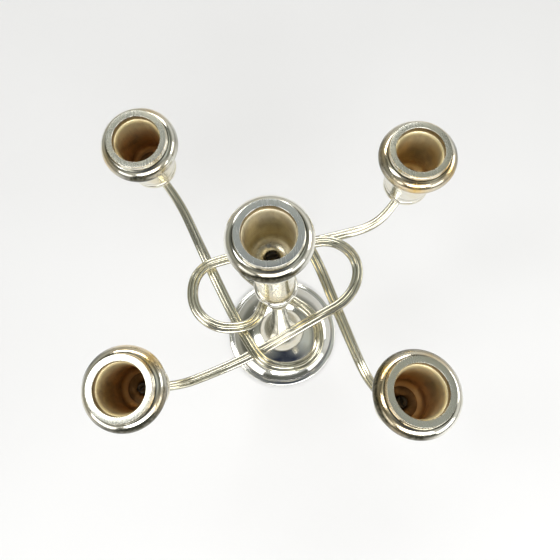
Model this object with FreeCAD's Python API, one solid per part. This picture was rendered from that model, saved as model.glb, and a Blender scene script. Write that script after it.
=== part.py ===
"""A five-light candelabrum in silver plate, as an assembly of separate pieces.

Frame: millimetres, +Z up, origin at the middle of the foot's underside, on the column's axis.
The front of the object looks along -Y.
"""
import FreeCAD, Part
import math
import os

from FreeCAD import Vector

# ---------------------------------------------------------------- driving dimensions
HEIGHT = 240.0              # top of the middle drip ring above the table

# foot
FOOT_RADIUS = 43.4
RIM_HEIGHT = 3.6            # top of the stepped rim
RIM_STEP_RADIUS = 38.7      # where the dome meets the rim
DOME_EDGE_Z = 4.4
DOME_MIDDLE_RADIUS = 30.0
DOME_MIDDLE_Z = 8.4
DOME_TOP_RADIUS = 17.0
DOME_TOP_Z = 13.0
DOME_HOLE_RADIUS = 6.5      # the rod and the ballast's neck pass through it
SHELL_THICKNESS = 1.0
BALLAST_RADIUS = 38.5
FELT_RADIUS = 41.5
FELT_THICKNESS = 1.2
PLATE_THICKNESS = 0.8
RIM_BOTTOM_Z = 0.6          # the metal rim stays just off the table

# stem, hub, ring and column body
STEM_PROFILE = [(17.0, 14.2), (11.0, 26.0), (7.9, 45.0), (5.7, 70.0), (4.8, 96.0), (5.2, 118.0), (6.0, 130.0)]
STEM_WALL = 1.2
STEM_TOP_PAD = 3.0          # solid top that the rod runs through
HUB_BOTTOM_Z = STEM_PROFILE[-1][1]
HUB_TOP_Z = 151.0
HUB_RADIUS = 8.5
HUB_WAIST_RADIUS = 7.8
HUB_FACE_RADIUS = 7.9       # flat ends of the hub, inside its rolled edges
HUB_LIP = 1.5
COLUMN_RING_RADIUS = 12.1
COLUMN_RING_COVE = (8.8, 152.5)
COLUMN_RING_ROOT = 10.9
COLUMN_BEAD_BOTTOM_Z = 153.6
COLUMN_BEAD_TOP_Z = 157.0
COLUMN_RING_TOP_Z = 158.0
BODY_BOTTOM_RADIUS = 10.2
BODY_MIDDLE_RADIUS = 10.45
BODY_TOP_RADIUS = 11.4
BODY_WALL = 1.0
BODY_WEB = 4.0              # the solid top that the rod screws into

# tie rod
ROD_RADIUS = 2.5
ROD_BOTTOM_Z = 3.0
NUT_RECESS_RADIUS = 8.0
NUT_RECESS_TOP_Z = 8.6
NUT_ACROSS_FLATS = 8.0
NUT_HEIGHT = 4.0
WASHER_RADIUS = 6.5
WASHER_THICKNESS = 1.0

# candle cup, measured down its own axis from the top of its drip ring
CUP_RADIUS = 12.1
CANDLE_RADIUS = 10.5        # bore for a 21 mm candle end
CUP_TOP = -3.2
CUP_BOTTOM = -35.0
CUP_FLOOR = -33.4
CUP_EDGE_RADIUS = 2.5
CUP_FLOOR_FILLET = 3.0
CUP_LIP = 0.4
BEAD_BOTTOM = -38.5
BEAD_RADIUS = 11.9
BEAD_NECK_RADIUS = 10.5     # under the cup
BEAD_FOOT_RADIUS = 10.5
BOSS_BOTTOM = -41.0
BOSS_RADIUS = 3.4

# drip ring: a flat collar that stands proud of a broad flange, which rolls over and down
MOUTH_RADIUS = 11.5
MOUTH_CHAMFER = 0.3
COLLAR_RADIUS = 14.4
COLLAR_FOOT_RADIUS = 15.0   # where the collar's side meets the flange
FLANGE_RADIUS = 18.8
FLANGE_WIDEST = -7.3
FLANGE_TOP_ROUND = 4.8      # radius of the flange's roll above its widest circle
FLANGE_LOW_ROUND = 3.6      # and below it
FLANGE_EDGE_RADIUS = 15.6
FLANGE_WALL = 1.0
HOLLOW_RADIUS = 15.0        # where the hollow under the flange meets the collar's underside
SKIRT_RADIUS = 13.2
SKIRT_BOTTOM = -9.6
RING_CLEARANCE = 0.3        # radial play of the drip ring on its cup

# cup screws
SCREW_RADIUS = 1.5
SCREW_HEAD_RADIUS = 2.7
SCREW_HEAD_HEIGHT = 1.5
SCREW_SLOT_WIDTH = 0.7
SCREW_SLOT_DEPTH = 0.8
SCREW_END = -40.2

# branches: a flat reeded strip
BRANCH_WIDTH = 5.4
BRANCH_THICKNESS = 3.6
REED_VALLEY = 0.8           # height of the valleys between reeds, as a part of the middle reed's
OUTER_REED = (0.7, 0.78)    # crown of an outer reed, as parts of the half width and half thickness
UNDER_CUP = -48.0           # the bend below a cup, measured down the cup's axis
BEND_REACH = 0.499          # how far a bend reaches along the shorter of its two runs

# each cup's seat: middle of its drip ring's top, and its lean from upright in degrees along X and Y
SEATS = {
    "middle": (0.0, 0.0, HEIGHT, 0.0, 0.0),
    "back_left": (-59.0, 64.0, 212.0, 0.0, -5.5),
    "back_right": (74.0, 43.5, 212.0, 0.0, 1.0),
    "front_left": (-69.0, -52.5, 214.0, -3.0, -4.0),
    "front_right": (55.0, -66.0, 219.0, 5.0, 5.0),
}

# each branch's route, as the corners that its bends round off: out of the hub, round the loop, and away
# across the middle to its cup. The low pair leaves the hub under the high pair.
ROUTES = {
    "back_left": [(7.0, -4.0, 138.0), (21.5, -16.0, 139.5), (20.5, -36.0, 143.0), (9.0, -45.0, 149.5),
                  (-10.0, -43.5, 153.0), (-23.0, -18.0, 146.0), (-37.0, 18.5, 145.5), (-49.0, 52.5, 156.0)],
    "front_right": [(-7.0, 3.5, 138.0), (-21.5, 17.0, 139.5), (-21.0, 35.0, 143.0), (-8.5, 46.0, 149.5),
                    (9.5, 43.0, 153.0), (23.5, 18.5, 146.9), (34.0, -20.5, 145.5), (42.5, -56.0, 156.0)],
    "back_right": [(-7.0, -4.5, 143.0), (-13.5, -20.5, 150.5), (-35.0, -20.5, 154.5), (-47.0, -7.0, 154.0),
                   (-44.0, 15.0, 153.5), (-17.5, 21.5, 149.5), (22.0, 26.5, 142.5), (60.0, 29.0, 154.0)],
    "front_left": [(6.5, 4.5, 143.0), (15.0, 23.0, 152.3), (35.5, 23.5, 155.0), (48.0, 9.0, 154.0),
                   (41.0, -10.5, 153.5), (15.5, -21.0, 150.0), (-19.0, -36.5, 144.5), (-53.0, -48.0, 154.0)],
}

# each branch's roll where it leaves the hub, in degrees, so that it comes round level in its loop
START_ROLLS = {"back_left": -33.0, "front_right": -33.0, "back_right": -18.0, "front_left": -17.0}

ORIGIN = Vector(0, 0, 0)
UP = Vector(0, 0, 1)


# ---------------------------------------------------------------- helpers
def export(shape, node):
    """Write one piece as its own STEP file."""
    shape.exportStep(os.path.join("parts", node + ".step"))


def cylinder(radius, bottom, top):
    return Part.makeCylinder(radius, top - bottom, Vector(0, 0, bottom), UP)


def tube(outer, inner, bottom, top):
    return cylinder(outer, bottom, top).cut(cylinder(inner, bottom, top))


def line(start, end):
    """A straight edge in the half-plane of a turned profile, from (radius, z) to (radius, z)."""
    return Part.makeLine(Vector(start[0], 0, start[1]), Vector(end[0], 0, end[1]))


def arc(start, middle, end):
    """A round edge through three (radius, z) points of a turned profile."""
    points = [Vector(r, 0, z) for r, z in (start, middle, end)]
    return Part.Arc(*points).toShape()


def curve(points):
    """A smooth edge through (radius, z) points of a turned profile."""
    spline = Part.BSplineCurve()
    spline.interpolate([Vector(r, 0, z) for r, z in points])
    return spline.toShape()


def turned(edges):
    """Turn a closed outline about the Z axis."""
    face = Part.Face(Part.Wire(Part.__sortEdges__(edges)))
    return face.revolve(ORIGIN, UP, 360)


def seat_axis(seat):
    lean_x, lean_y = (math.tan(math.radians(angle)) for angle in seat[3:5])
    return Vector(lean_x, lean_y, 1).normalize()


def seated(shape, seat):
    """Move a piece made on the Z axis, with the drip ring's top at zero, onto a cup's seat."""
    placed = shape.copy()
    placed.Placement = FreeCAD.Placement(Vector(*seat[0:3]), FreeCAD.Rotation(UP, seat_axis(seat)))
    return placed


def down_axis(seat, distance):
    """The point on a seat's axis at a (negative) distance from the drip ring's top."""
    return Vector(*seat[0:3]) + seat_axis(seat) * distance


# ---------------------------------------------------------------- foot
def dome_line(edge_radius, drop):
    """The dome's outline, from the rim step to the stem's base, lowered by drop."""
    return curve([(edge_radius, DOME_EDGE_Z - drop),
                  (DOME_MIDDLE_RADIUS, DOME_MIDDLE_Z - drop),
                  (DOME_TOP_RADIUS, DOME_TOP_Z - drop)])


def make_foot_shell():
    """A spun dome with a stepped, rounded rim, open below and at the middle."""
    foot_edge = FOOT_RADIUS - 0.8
    rim_edge = FOOT_RADIUS - 1.4
    rim_low = RIM_HEIGHT - 0.4
    step_foot = RIM_STEP_RADIUS + 0.5
    inner_r = FELT_RADIUS + 0.1
    under_rim = RIM_HEIGHT - SHELL_THICKNESS
    under_top = DOME_TOP_Z - SHELL_THICKNESS
    edges = [
        line((inner_r, RIM_BOTTOM_Z), (foot_edge, RIM_BOTTOM_Z)),
        arc((foot_edge, RIM_BOTTOM_Z), (FOOT_RADIUS, 1.9), (rim_edge, rim_low)),
        line((rim_edge, rim_low), (step_foot, RIM_HEIGHT)),
        line((step_foot, RIM_HEIGHT), (RIM_STEP_RADIUS, DOME_EDGE_Z)),
        dome_line(RIM_STEP_RADIUS, 0.0),
        line((DOME_TOP_RADIUS, DOME_TOP_Z), (DOME_HOLE_RADIUS, DOME_TOP_Z)),
        line((DOME_HOLE_RADIUS, DOME_TOP_Z), (DOME_HOLE_RADIUS, under_top)),
        line((DOME_HOLE_RADIUS, under_top), (DOME_TOP_RADIUS, under_top)),
        dome_line(BALLAST_RADIUS, SHELL_THICKNESS),
        line((BALLAST_RADIUS, DOME_EDGE_Z - SHELL_THICKNESS), (BALLAST_RADIUS, under_rim)),
        line((BALLAST_RADIUS, under_rim), (inner_r, under_rim)),
        line((inner_r, under_rim), (inner_r, RIM_BOTTOM_Z)),
    ]
    return turned(edges)


def make_ballast():
    """The cast filling: everything under the dome, less the rod's bore and the nut's recess."""
    bottom = FELT_THICKNESS + PLATE_THICKNESS
    top = DOME_TOP_Z - SHELL_THICKNESS
    edges = [
        line((ROD_RADIUS, bottom), (BALLAST_RADIUS, bottom)),
        line((BALLAST_RADIUS, bottom), (BALLAST_RADIUS, DOME_EDGE_Z - SHELL_THICKNESS)),
        dome_line(BALLAST_RADIUS, SHELL_THICKNESS),
        line((DOME_TOP_RADIUS, top), (ROD_RADIUS, top)),
        line((ROD_RADIUS, top), (ROD_RADIUS, bottom)),
    ]
    return turned(edges).cut(cylinder(NUT_RECESS_RADIUS, bottom, NUT_RECESS_TOP_Z))


def make_closing_plate():
    return cylinder(FELT_RADIUS, FELT_THICKNESS, FELT_THICKNESS + PLATE_THICKNESS)


def make_felt():
    return cylinder(FELT_RADIUS - 1.0, 0.0, FELT_THICKNESS)


# ---------------------------------------------------------------- column
def make_stem():
    """A hollow trumpet: wide on the dome, a narrow waist, and a little wider again under the hub."""
    base_radius = STEM_PROFILE[0][0]
    top_z = STEM_PROFILE[-1][1]
    pad_z = top_z - STEM_TOP_PAD
    inner = [(radius - STEM_WALL, z) for radius, z in STEM_PROFILE[1:-1]]
    inner.insert(0, (base_radius - STEM_WALL, DOME_TOP_Z))
    inner.append((STEM_PROFILE[-1][0] - STEM_WALL, pad_z))
    edges = [
        line(inner[0], (base_radius, DOME_TOP_Z)),
        line((base_radius, DOME_TOP_Z), STEM_PROFILE[0]),
        curve(STEM_PROFILE),
        line(STEM_PROFILE[-1], (ROD_RADIUS, top_z)),
        line((ROD_RADIUS, top_z), (ROD_RADIUS, pad_z)),
        line((ROD_RADIUS, pad_z), inner[-1]),
        curve(inner),
    ]
    return turned(edges)


def make_hub():
    """The collar that the branches are soldered to, waisted between two rolled edges."""
    low = HUB_BOTTOM_Z + HUB_LIP
    high = HUB_TOP_Z - HUB_LIP
    edges = [
        line((ROD_RADIUS, HUB_BOTTOM_Z), (HUB_FACE_RADIUS, HUB_BOTTOM_Z)),
        arc((HUB_FACE_RADIUS, HUB_BOTTOM_Z), (HUB_RADIUS, low - HUB_LIP / 2), (HUB_WAIST_RADIUS, low)),
        line((HUB_WAIST_RADIUS, low), (HUB_WAIST_RADIUS, high)),
        arc((HUB_WAIST_RADIUS, high), (HUB_RADIUS, high + HUB_LIP / 2), (HUB_FACE_RADIUS, HUB_TOP_Z)),
        line((HUB_FACE_RADIUS, HUB_TOP_Z), (ROD_RADIUS, HUB_TOP_Z)),
        line((ROD_RADIUS, HUB_TOP_Z), (ROD_RADIUS, HUB_BOTTOM_Z)),
    ]
    return turned(edges)


def make_column_ring():
    """The ring under the column body: a cove, a bead and a small step."""
    bead_middle_z = (COLUMN_BEAD_BOTTOM_Z + COLUMN_BEAD_TOP_Z) / 2
    bead_low = (COLUMN_RING_ROOT, COLUMN_BEAD_BOTTOM_Z)
    bead_high = (COLUMN_RING_ROOT, COLUMN_BEAD_TOP_Z)
    edges = [
        line((ROD_RADIUS, HUB_TOP_Z), (HUB_FACE_RADIUS, HUB_TOP_Z)),
        arc((HUB_FACE_RADIUS, HUB_TOP_Z), COLUMN_RING_COVE, bead_low),
        arc(bead_low, (COLUMN_RING_RADIUS, bead_middle_z), bead_high),
        line(bead_high, (COLUMN_RING_ROOT, COLUMN_RING_TOP_Z)),
        line((COLUMN_RING_ROOT, COLUMN_RING_TOP_Z), (ROD_RADIUS, COLUMN_RING_TOP_Z)),
        line((ROD_RADIUS, COLUMN_RING_TOP_Z), (ROD_RADIUS, HUB_TOP_Z)),
    ]
    return turned(edges)


def make_column_body():
    """A thin tapering case with a web at its top that the tie rod screws into."""
    bottom = COLUMN_RING_TOP_Z
    top = HEIGHT + BEAD_BOTTOM
    web_z = top - BODY_WEB
    inner_bottom = (BODY_BOTTOM_RADIUS - BODY_WALL, bottom)
    inner_top = (BODY_TOP_RADIUS - BODY_WALL, web_z)
    edges = [
        line(inner_bottom, (BODY_BOTTOM_RADIUS, bottom)),
        arc((BODY_BOTTOM_RADIUS, bottom), (BODY_MIDDLE_RADIUS, (bottom + top) / 2), (BODY_TOP_RADIUS, top)),
        line((BODY_TOP_RADIUS, top), (ROD_RADIUS, top)),
        line((ROD_RADIUS, top), (ROD_RADIUS, web_z)),
        line((ROD_RADIUS, web_z), inner_top),
        line(inner_top, inner_bottom),
    ]
    return turned(edges)


def make_tie_rod():
    """The rod through the whole column; its top end is tapped for the middle cup's screw."""
    top = HEIGHT + BEAD_BOTTOM
    tapped = cylinder(SCREW_RADIUS, HEIGHT + SCREW_END, top)
    return cylinder(ROD_RADIUS, ROD_BOTTOM_Z, top).cut(tapped)


def make_washer():
    return tube(WASHER_RADIUS, ROD_RADIUS, NUT_RECESS_TOP_Z - WASHER_THICKNESS, NUT_RECESS_TOP_Z)


def make_nut():
    top = NUT_RECESS_TOP_Z - WASHER_THICKNESS
    corner = NUT_ACROSS_FLATS / 2 / math.cos(math.radians(30))
    angles = [math.radians(60 * i) for i in range(7)]
    outline = [Vector(corner * math.cos(a), corner * math.sin(a), top - NUT_HEIGHT) for a in angles]
    prism = Part.Face(Part.makePolygon(outline)).extrude(Vector(0, 0, NUT_HEIGHT))
    return prism.cut(cylinder(ROD_RADIUS, top - NUT_HEIGHT, top))


# ---------------------------------------------------------------- candle cups
def make_cup():
    """A drawn cup with a rounded foot, a straight candle bore and a rounded inner corner."""
    r = CUP_EDGE_RADIUS
    q = CUP_FLOOR_FILLET
    lip = CUP_LIP
    inset = 1 - math.sqrt(0.5)      # how far the middle of a rounded corner is in from its two faces
    corner = (CUP_RADIUS - r * inset, CUP_BOTTOM + r * inset)
    inner_corner = (CANDLE_RADIUS - q * inset, CUP_FLOOR + q * inset)
    lip_corner = (CANDLE_RADIUS + lip * inset, CUP_TOP - lip * inset)
    edges = [
        line((SCREW_RADIUS, CUP_BOTTOM), (CUP_RADIUS - r, CUP_BOTTOM)),
        arc((CUP_RADIUS - r, CUP_BOTTOM), corner, (CUP_RADIUS, CUP_BOTTOM + r)),
        line((CUP_RADIUS, CUP_BOTTOM + r), (CUP_RADIUS, CUP_TOP)),
        line((CUP_RADIUS, CUP_TOP), (CANDLE_RADIUS + lip, CUP_TOP)),
        arc((CANDLE_RADIUS + lip, CUP_TOP), lip_corner, (CANDLE_RADIUS, CUP_TOP - lip)),
        line((CANDLE_RADIUS, CUP_TOP - lip), (CANDLE_RADIUS, CUP_FLOOR + q)),
        arc((CANDLE_RADIUS, CUP_FLOOR + q), inner_corner, (CANDLE_RADIUS - q, CUP_FLOOR)),
        line((CANDLE_RADIUS - q, CUP_FLOOR), (SCREW_RADIUS, CUP_FLOOR)),
        line((SCREW_RADIUS, CUP_FLOOR), (SCREW_RADIUS, CUP_BOTTOM)),
    ]
    return turned(edges)


def make_bead():
    """The bead ring that a cup sits on."""
    widest = (BEAD_RADIUS, (CUP_BOTTOM + BEAD_BOTTOM) / 2)
    edges = [
        line((SCREW_RADIUS, CUP_BOTTOM), (BEAD_NECK_RADIUS, CUP_BOTTOM)),
        arc((BEAD_NECK_RADIUS, CUP_BOTTOM), widest, (BEAD_FOOT_RADIUS, BEAD_BOTTOM)),
        line((BEAD_FOOT_RADIUS, BEAD_BOTTOM), (SCREW_RADIUS, BEAD_BOTTOM)),
        line((SCREW_RADIUS, BEAD_BOTTOM), (SCREW_RADIUS, CUP_BOTTOM)),
    ]
    return turned(edges)


def make_boss():
    """The tapped boss on a branch's end, closed below the screw."""
    tapped = cylinder(SCREW_RADIUS, SCREW_END, BEAD_BOTTOM)
    return cylinder(BOSS_RADIUS, BOSS_BOTTOM, BEAD_BOTTOM).cut(tapped)


def make_screw():
    """A slotted cheese-head screw from the cup's floor down into the boss."""
    head_top = CUP_FLOOR + SCREW_HEAD_HEIGHT
    slot_length = 2 * SCREW_HEAD_RADIUS + 1.0
    slot_corner = Vector(-slot_length / 2, -SCREW_SLOT_WIDTH / 2, head_top - SCREW_SLOT_DEPTH)
    slot = Part.makeBox(slot_length, SCREW_SLOT_WIDTH, SCREW_SLOT_DEPTH, slot_corner)
    head = cylinder(SCREW_HEAD_RADIUS, CUP_FLOOR, head_top).cut(slot)
    shank = cylinder(SCREW_RADIUS, SCREW_END, CUP_FLOOR)
    return head.fuse(shank).removeSplitter()


def roll_points(start, end, outer_round, inset, side):
    """Three points of the flange's roll between two radii, above its widest circle (1) or below it (-1)."""
    centre = FLANGE_RADIUS - outer_round
    points = []
    for radius in (start, (start + end) / 2, end):
        rise = math.sqrt(max((outer_round - inset) ** 2 - (radius - centre) ** 2, 0.0))
        points.append((radius, FLANGE_WIDEST + side * rise))
    return points


def make_drip_ring():
    """The lift-off ring: a proud flat collar, a rolled flange open below, and a skirt round the cup."""
    seat_r = CUP_RADIUS + RING_CLEARANCE
    inner_widest = FLANGE_RADIUS - FLANGE_WALL
    outer_top = roll_points(COLLAR_FOOT_RADIUS, FLANGE_RADIUS, FLANGE_TOP_ROUND, 0.0, 1)
    outer_low = roll_points(FLANGE_RADIUS, FLANGE_EDGE_RADIUS, FLANGE_LOW_ROUND, 0.0, -1)
    inner_low = roll_points(FLANGE_EDGE_RADIUS, inner_widest, FLANGE_LOW_ROUND, FLANGE_WALL, -1)
    inner_top = roll_points(inner_widest, HOLLOW_RADIUS, FLANGE_TOP_ROUND, FLANGE_WALL, 1)
    hollow_top = inner_top[-1][1]
    edges = [
        line((MOUTH_RADIUS, CUP_TOP), (MOUTH_RADIUS, -MOUTH_CHAMFER)),
        line((MOUTH_RADIUS, -MOUTH_CHAMFER), (MOUTH_RADIUS + MOUTH_CHAMFER, 0.0)),
        line((MOUTH_RADIUS + MOUTH_CHAMFER, 0.0), (COLLAR_RADIUS, 0.0)),
        line((COLLAR_RADIUS, 0.0), outer_top[0]),
        arc(*outer_top),
        arc(*outer_low),
        line(outer_low[-1], inner_low[0]),
        arc(*inner_low),
        arc(*inner_top),
        line(inner_top[-1], (SKIRT_RADIUS, hollow_top)),
        line((SKIRT_RADIUS, hollow_top), (SKIRT_RADIUS, SKIRT_BOTTOM)),
        line((SKIRT_RADIUS, SKIRT_BOTTOM), (seat_r, SKIRT_BOTTOM)),
        line((seat_r, SKIRT_BOTTOM), (seat_r, CUP_TOP)),
        line((seat_r, CUP_TOP), (MOUTH_RADIUS, CUP_TOP)),
    ]
    return turned(edges)


# ---------------------------------------------------------------- branches
def rounded_path(corners):
    """Straight runs joined by arcs, each arc as wide as its shorter neighbour allows."""
    edges = []
    start = corners[0]
    for before, corner, after in zip(corners, corners[1:], corners[2:]):
        back = before - corner
        ahead = after - corner
        reach = BEND_REACH * min(back.Length, ahead.Length)
        back.normalize()
        ahead.normalize()
        enter = corner + back * reach
        leave = corner + ahead * reach
        half_turn = (math.pi - back.getAngle(ahead)) / 2
        radius = reach / math.tan(half_turn)
        inward = (back + ahead).normalize()
        centre_distance = radius / math.cos(half_turn)
        middle = corner + inward * (centre_distance - radius)
        edges.append(Part.LineSegment(start, enter).toShape())
        edges.append(Part.Arc(enter, middle, leave).toShape())
        start = leave
    edges.append(Part.LineSegment(start, corners[-1]).toShape())
    return Part.Wire(edges)


def reeded_outline(centre, direction, roll):
    """The branch's section, square to direction and rolled about it: three round reeds on each face."""
    turn = FreeCAD.Rotation(direction, roll)
    side = turn.multVec(UP.cross(direction).normalize())
    normal = direction.cross(side).normalize()
    outer_across, outer_height = OUTER_REED
    outline = [(-1, 0), (-outer_across, outer_height), (-1 / 3, REED_VALLEY), (0, 1),
               (1 / 3, REED_VALLEY), (outer_across, outer_height), (1, 0)]
    edges = []
    for face in (BRANCH_THICKNESS / 2, -BRANCH_THICKNESS / 2):
        points = [centre + side * (across * BRANCH_WIDTH / 2) + normal * (height * face)
                  for across, height in outline]
        edges += [Part.Arc(*points[i:i + 3]).toShape() for i in (0, 2, 4)]
    return Part.Wire(Part.__sortEdges__(edges))


def make_branch(name):
    """Sweep the reeded section from the hub, round the loop and out to the boss under a cup."""
    seat = SEATS[name]
    corners = [Vector(*point) for point in ROUTES[name]]
    corners += [down_axis(seat, UNDER_CUP), down_axis(seat, BOSS_BOTTOM)]
    sweep = Part.BRepOffsetAPI.MakePipeShell(rounded_path(corners))
    sweep.setFrenetMode(False)
    sweep.add(reeded_outline(corners[0], (corners[1] - corners[0]).normalize(), START_ROLLS[name]))
    sweep.build()
    sweep.makeSolid()
    return sweep.shape().cut(cylinder(HUB_RADIUS, HUB_BOTTOM_Z, HUB_TOP_Z))


# ---------------------------------------------------------------- assembly
def main():
    os.makedirs("parts", exist_ok=True)
    singles = {
        "foot_shell": make_foot_shell,
        "foot_ballast": make_ballast,
        "closing_plate": make_closing_plate,
        "felt_disc": make_felt,
        "stem": make_stem,
        "branch_hub": make_hub,
        "column_ring": make_column_ring,
        "column_body": make_column_body,
        "tie_rod": make_tie_rod,
        "rod_washer": make_washer,
        "rod_nut": make_nut,
    }
    for node, make in singles.items():
        export(make(), node)
    for name in ROUTES:
        export(make_branch(name), "branch_" + name)
        export(seated(make_boss(), SEATS[name]), "boss_" + name)
    for name, seat in SEATS.items():
        export(seated(make_cup(), seat), "cup_" + name)
        export(seated(make_bead(), seat), "bead_" + name)
        export(seated(make_drip_ring(), seat), "drip_ring_" + name)
    export(Part.makeCompound([seated(make_screw(), seat) for seat in SEATS.values()]), "cup_screws")


main()
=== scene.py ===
import math

import bmesh
import bpy
import numpy as np
from mathutils import Matrix, Vector


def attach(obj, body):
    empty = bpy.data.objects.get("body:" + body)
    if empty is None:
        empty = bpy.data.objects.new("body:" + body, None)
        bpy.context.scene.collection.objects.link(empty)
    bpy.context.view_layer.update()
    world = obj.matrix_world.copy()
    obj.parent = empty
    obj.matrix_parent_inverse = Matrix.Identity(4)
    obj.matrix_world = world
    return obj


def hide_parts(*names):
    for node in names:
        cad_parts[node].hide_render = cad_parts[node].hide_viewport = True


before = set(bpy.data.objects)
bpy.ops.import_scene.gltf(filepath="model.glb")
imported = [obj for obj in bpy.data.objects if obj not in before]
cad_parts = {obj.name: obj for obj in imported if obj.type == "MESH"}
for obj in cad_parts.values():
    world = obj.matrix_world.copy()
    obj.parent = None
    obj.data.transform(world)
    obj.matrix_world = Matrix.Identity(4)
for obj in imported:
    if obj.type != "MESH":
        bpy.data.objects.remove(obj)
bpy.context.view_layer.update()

STAND = "stand"

# ------------------------------------------------------------------ sizes in mm, as in the CAD
MM = 0.001

# Rings, cups, beads, bosses and screws are measured from a seat: z is 0 at the top of its ring.
MOUTH_RADIUS = 11.5
COLLAR_RADIUS = 14.4
ROLL_RADIUS = 18.8
ROLL_Z = -7.3
RING_WALL = 1.0
SKIRT_INNER = 12.4
SKIRT_OUTER = 13.2
SKIRT_BOTTOM = -9.6
CUP_RADIUS = 12.1
CUP_TOP = -3.2
CUP_BOTTOM = -35.0
CUP_FLOOR = -33.4
BORE_RADIUS = 10.5
SCREW_HOLE = 1.5
BEAD_BOTTOM = -38.5
BOSS_FLOOR = -40.2
BOSS_BOTTOM = -41.0

# The foot and the column stand on the table: z is 0 there.
FOOT_TOP = 13.0
ROD_HOLE = 2.5
STEM_TOP = 130.0
HUB_TOP = 151.0
COLUMN_FOOT = 158.0
COLUMN_TOP = 201.5

BRANCH_WIDTH = 5.4
BRANCH_THICKNESS = 3.6

# Each seat: x, y, z of the ring's top, then the lean towards +X and towards +Y in degrees.
SEATS = {
    "middle": (0.0, 0.0, 240.0, 0.0, 0.0),
    "back_left": (-59.0, 64.0, 212.0, 0.0, -5.5),
    "back_right": (74.0, 43.5, 212.0, 0.0, 1.0),
    "front_left": (-69.0, -52.5, 214.0, -3.0, -4.0),
    "front_right": (55.0, -66.0, 219.0, 5.0, 5.0),
}
# Each branch's corners, from the hub to below its cup. The bends between them are round.
ROUTES = {
    "back_left": [(7.0, -4.0, 138.0), (21.5, -16.0, 139.5), (20.5, -36.0, 143.0), (9.0, -45.0, 149.5),
                  (-10.0, -43.5, 153.0), (-23.0, -18.0, 146.0), (-37.0, 18.5, 145.5), (-49.0, 52.5, 156.0)],
    "front_right": [(-7.0, 3.5, 138.0), (-21.5, 17.0, 139.5), (-21.0, 35.0, 143.0), (-8.5, 46.0, 149.5),
                    (9.5, 43.0, 153.0), (23.5, 18.5, 146.9), (34.0, -20.5, 145.5), (42.5, -56.0, 156.0)],
    "back_right": [(-7.0, -4.5, 143.0), (-13.5, -20.5, 150.5), (-35.0, -20.5, 154.5), (-47.0, -7.0, 154.0),
                   (-44.0, 15.0, 153.5), (-17.5, 21.5, 149.5), (22.0, 26.5, 142.5), (60.0, 29.0, 154.0)],
    "front_left": [(6.5, 4.5, 143.0), (15.0, 23.0, 152.3), (35.5, 23.5, 155.0), (48.0, 9.0, 154.0),
                   (41.0, -10.5, 153.5), (15.5, -21.0, 150.0), (-19.0, -36.5, 144.5), (-53.0, -48.0, 154.0)],
}

# ------------------------------------------------------------------ camera
CAMERA_AT = (2.557 * MM, -74.240 * MM, 443.860 * MM)
CAMERA_TILT = 0.2611
CAMERA_ROLL = -0.1009
CAMERA_LENS = 35.14
CAMERA_SENSOR = 36.0


def make_camera():
    """Looks almost straight down from above the front edge, rolled a little. Angles are in radians."""
    cos_t, sin_t = math.cos(CAMERA_TILT), math.sin(CAMERA_TILT)
    cos_r, sin_r = math.cos(CAMERA_ROLL), math.sin(CAMERA_ROLL)
    tilt = np.array([[1, 0, 0], [0, cos_t, sin_t], [0, -sin_t, cos_t]])
    roll = np.array([[cos_r, -sin_r, 0], [sin_r, cos_r, 0], [0, 0, 1]])
    right, down, forward = roll @ tilt @ np.diag([1.0, -1.0, -1.0])
    matrix = Matrix.Identity(4)
    for row in range(3):
        matrix[row][0] = right[row]
        matrix[row][1] = -down[row]
        matrix[row][2] = -forward[row]
        matrix[row][3] = CAMERA_AT[row]
    camera = bpy.data.objects.new("camera", bpy.data.cameras.new("camera"))
    camera.data.lens = CAMERA_LENS
    camera.data.sensor_width = CAMERA_SENSOR
    camera.matrix_world = matrix
    bpy.context.scene.collection.objects.link(camera)
    bpy.context.scene.camera = camera


make_camera()


# ------------------------------------------------------------------ node helpers
class Nodes:
    """A node tree, with short calls for the nodes used here."""

    def __init__(self, tree):
        self.tree = tree

    def put(self, socket, value):
        """Links an output to the socket, or sets a constant on it."""
        if hasattr(value, "is_output"):
            self.tree.links.new(value, socket)
        elif isinstance(value, (tuple, list)) and len(value) == 3 and socket.type == "RGBA":
            socket.default_value = (*value, 1.0)
        else:
            socket.default_value = value

    def node(self, kind, inputs=None, **settings):
        made = self.tree.nodes.new(kind)
        for key, value in settings.items():
            setattr(made, key, value)
        for key, value in (inputs or {}).items():
            self.put(made.inputs[key], value)
        return made

    def math(self, operation, a, b=0.0, c=0.0, clamp=False):
        made = self.node("ShaderNodeMath", {0: a, 1: b, 2: c}, operation=operation, use_clamp=clamp)
        return made.outputs[0]

    def mix(self, factor, a, b, blend="MIX"):
        made = self.node("ShaderNodeMix", data_type="RGBA", blend_type=blend)
        for index, value in ((0, factor), (6, a), (7, b)):
            self.put(made.inputs[index], value)
        return made.outputs[2]

    def span(self, value, low, high, to_low=0.0, to_high=1.0):
        """Maps low..high to to_low..to_high, held at the ends."""
        return self.node("ShaderNodeMapRange", {0: value, 1: low, 2: high, 3: to_low, 4: to_high}).outputs[0]

    def ramp(self, value, stops):
        made = self.node("ShaderNodeValToRGB", {0: value})
        while len(made.color_ramp.elements) < len(stops):
            made.color_ramp.elements.new(0.5)
        for element, (place, colour) in zip(made.color_ramp.elements, stops):
            element.position = place
            element.color = (*colour, 1.0)
        return made.outputs[0]

    def split(self, vector):
        return self.node("ShaderNodeSeparateXYZ", {0: vector}).outputs


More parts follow.
